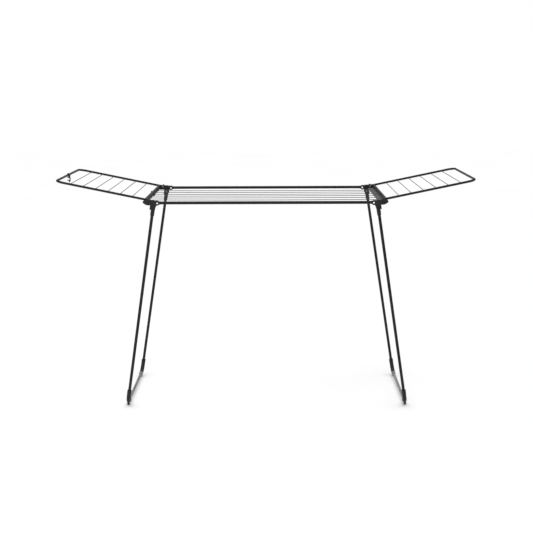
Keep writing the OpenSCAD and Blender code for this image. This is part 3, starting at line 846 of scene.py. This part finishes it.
def clip_outline():
    """Snap ring round the rail at (0, 0), and below it the stem, the open jaw and the finger tab."""
    ring_r = 8 * MM
    ring_bore = RAIL_R + 0.05 * MM
    jaw_r = 8.5 * MM
    jaw_bore = RAIL_R + 0.2 * MM
    jaw = (1 * MM, -CLIP_REACH)
    tip_r = 1.7 * MM
    tip_z = -CLIP_REACH - CLIP_TAB
    # Half the opening of each circle, and where it runs into the stem or the tab, in degrees
    ring_open = 52
    jaw_open = 46
    ring_join = math.degrees(math.acos((CLIP_STEM_OUT - 0.05 * MM) / ring_r))
    jaw_join = math.degrees(math.acos((CLIP_STEM_OUT - jaw[0]) / jaw_r))
    ring_foot = -68
    jaw_top = 75
    jaw_foot = -70
    outline = arc(0, 0, ring_r, -ring_join, 180 - ring_open, 24)
    outline += arc(0, 0, ring_bore, 180 - ring_open, -180 + ring_open, 30)
    outline += arc(0, 0, ring_r, -180 + ring_open, ring_foot, 10)
    outline += [(CLIP_STEM_IN, -ring_r - 0.6 * MM), (CLIP_STEM_IN, -CLIP_REACH + jaw_r + 0.4 * MM)]
    outline += arc(*jaw, jaw_r, jaw_top, 180 - jaw_open, 10)
    outline += arc(*jaw, jaw_bore, 180 - jaw_open, -180 + jaw_open, 30)
    outline += arc(*jaw, jaw_r, -180 + jaw_open, jaw_foot, 10)
    outline += [(CLIP_STEM_IN + 0.6 * MM, tip_z + 2 * MM)]
    outline += arc(CLIP_STEM_IN + 0.6 * MM + tip_r, tip_z + tip_r, tip_r, 180, 360, 8)
    outline += arc(*jaw, jaw_r, -jaw_join, jaw_join, 12)
    return outline


def build_clip():
    """Lock clip that snaps over the left wing's outer rail, with finger ridges on its tab."""
    bm = bmesh.new()
    half = size_of("lock_clip").y / 2
    at = Matrix.Translation(CLIP_PIVOT)
    prism(bm, clip_outline(), -half, half, bevel=0.6 * MM, place=at)
    root = CLIP_STEM_OUT - 0.4 * MM
    crest = CLIP_STEM_OUT + 0.5 * MM
    root_half = 0.6 * MM
    crest_half = 0.3 * MM
    margin = 1.2 * MM
    for k in range(4):
        z = -CLIP_REACH - CLIP_TAB + (4 + 2.4 * k) * MM
        ridge = [(root, z - root_half), (crest, z - crest_half)]
        ridge += [(crest, z + crest_half), (root, z + root_half)]
        prism(bm, ridge, -half + margin, half - margin, bevel=0.15 * MM, segments=1, place=at)
    piece = finish_mesh("lock_clip_moulding", bm)
    place_piece(piece, "lock_clip", "moulding_black", "lock_clip")


# ---------- studio ----------

FLOOR_HALF = 14
# Strength of the white surround as a light, and as the backdrop that the camera sees
SURROUND = 0.5
BACKDROP = 1.0
# The overhead sky is wide enough to cast only soft shadows, and makes the floor just white
SKY = 1.92
SKY_ANGLE = math.radians(70)
# Softbox at the front left: its place, the point it faces, its side in metres and its power in watts
SOFTBOX_AT = Vector((-1.7, -2.8, 1.5))
SOFTBOX_AIM = Vector((-0.5, -0.28, 0.9))
SOFTBOX_SIDE = 0.9
SOFTBOX_WATTS = 20


def build_floor():
    """A plain, pale and slightly uneven floor."""
    bm = bmesh.new()
    bmesh.ops.create_grid(bm, x_segments=2, y_segments=2, size=FLOOR_HALF)
    floor = finish_mesh("studio_floor", bm)
    n = Nodes("studio_floor")
    n.shader.inputs["Roughness"].default_value = 0.9
    n.link(n.ramp(n.noise(1.5, 2), [(0.2, 0.9), (0.8, 0.93)]), n.shader.inputs["Base Color"])
    floor.data.materials.append(n.material)


def add_lamp(name, kind, strength):
    """A lamp at the origin that shines straight down."""
    light = bpy.data.lights.new(name, kind)
    light.energy = strength
    lamp = bpy.data.objects.new(name, light)
    bpy.context.scene.collection.objects.link(lamp)
    return lamp


def build_surround():
    """A white world that is dimmer as a light than as a backdrop."""
    world = bpy.data.worlds.new("studio")
    world.use_nodes = True
    tree = world.node_tree
    background = tree.nodes["Background"]
    background.inputs["Color"].default_value = (1, 1, 1, 1)
    path = tree.nodes.new("ShaderNodeLightPath")
    strength = tree.nodes.new("ShaderNodeMapRange")
    strength.inputs["To Min"].default_value = SURROUND
    strength.inputs["To Max"].default_value = BACKDROP
    tree.links.new(path.outputs["Is Camera Ray"], strength.inputs["Value"])
    tree.links.new(strength.outputs["Result"], background.inputs["Strength"])
    bpy.context.scene.world = world


def build_lights():
    """The wide overhead sky, and a softbox that casts no shadow of its own."""
    sky = add_lamp("overhead_sky", "SUN", SKY)
    sky.data.angle = SKY_ANGLE
    softbox = add_lamp("front_left_softbox", "AREA", SOFTBOX_WATTS)
    softbox.data.shape = "SQUARE"
    softbox.data.size = SOFTBOX_SIDE
    softbox.data.use_shadow = False
    softbox.location = SOFTBOX_AT
    softbox.rotation_euler = (SOFTBOX_AIM - SOFTBOX_AT).to_track_quat("-Z", "Y").to_euler()


def build_camera():
    """A camera a little above the rack and almost square to its front."""
    place = Matrix.Translation((0.0401, -4.3771, 1.4696))
    pitch_down = math.radians(11.325)
    yaw = Matrix.Rotation(math.radians(0.5146), 4, "Z")
    pitch = Matrix.Rotation(math.pi / 2 - pitch_down, 4, "X")
    roll = Matrix.Rotation(math.radians(-0.2384), 4, "Z")
    data = bpy.data.cameras.new("camera")
    data.sensor_width = 36
    data.lens = 65.49
    camera = bpy.data.objects.new("camera", data)
    camera.matrix_world = place @ (yaw @ pitch @ roll)
    bpy.context.scene.collection.objects.link(camera)
    bpy.context.scene.camera = camera


build_camera()
build_floor()
build_surround()
build_lights()
paint_cad_nodes()
build_brackets()
build_rivets()
build_centre_wires()
build_welds()
build_wing_hinges()
build_legs()
build_cover_plate()
build_saddle()
build_clip()
bpy.context.scene.view_settings.view_transform = "Standard"
